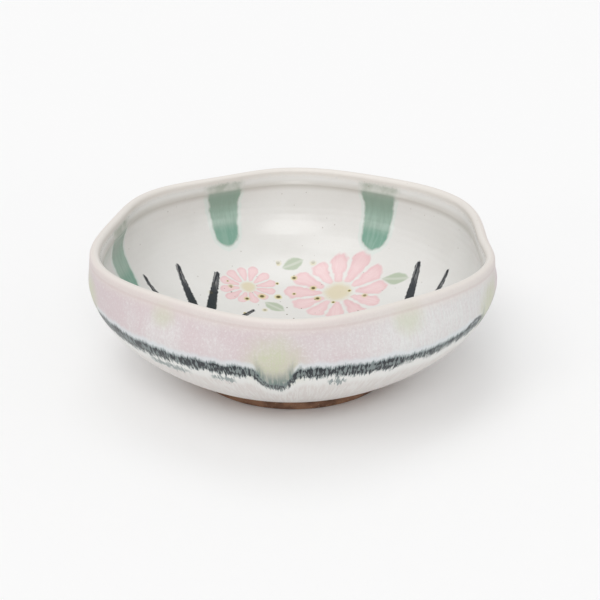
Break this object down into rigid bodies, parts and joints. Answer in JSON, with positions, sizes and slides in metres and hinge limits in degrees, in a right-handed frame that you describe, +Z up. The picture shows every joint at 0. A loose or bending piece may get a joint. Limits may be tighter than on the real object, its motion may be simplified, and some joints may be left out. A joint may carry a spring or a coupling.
{
  "type": "lobed bowl",
  "caption": "Shallow round stoneware serving bowl with a softly lobed rim, glazed inside and out, standing on a low unglazed foot ring.",
  "frame": {"origin": "on the table, under the middle of the bowl's outline", "axes": "+Z up through the middle of the bowl; +X and +Y across its rim, with +X at one of the six pinches"},
  "size_m": [0.1792, 0.18, 0.0632],
  "materials": {
    "clay": "matte",
    "white_glaze": "satin",
    "blush_glaze": "satin"
  },
  "bodies": {
    "root": {"bowl_body": "clay", "foot_ring": "clay", "inner_glaze": "white_glaze", "outer_glaze": "blush_glaze"}
  },
  "joints": []
}
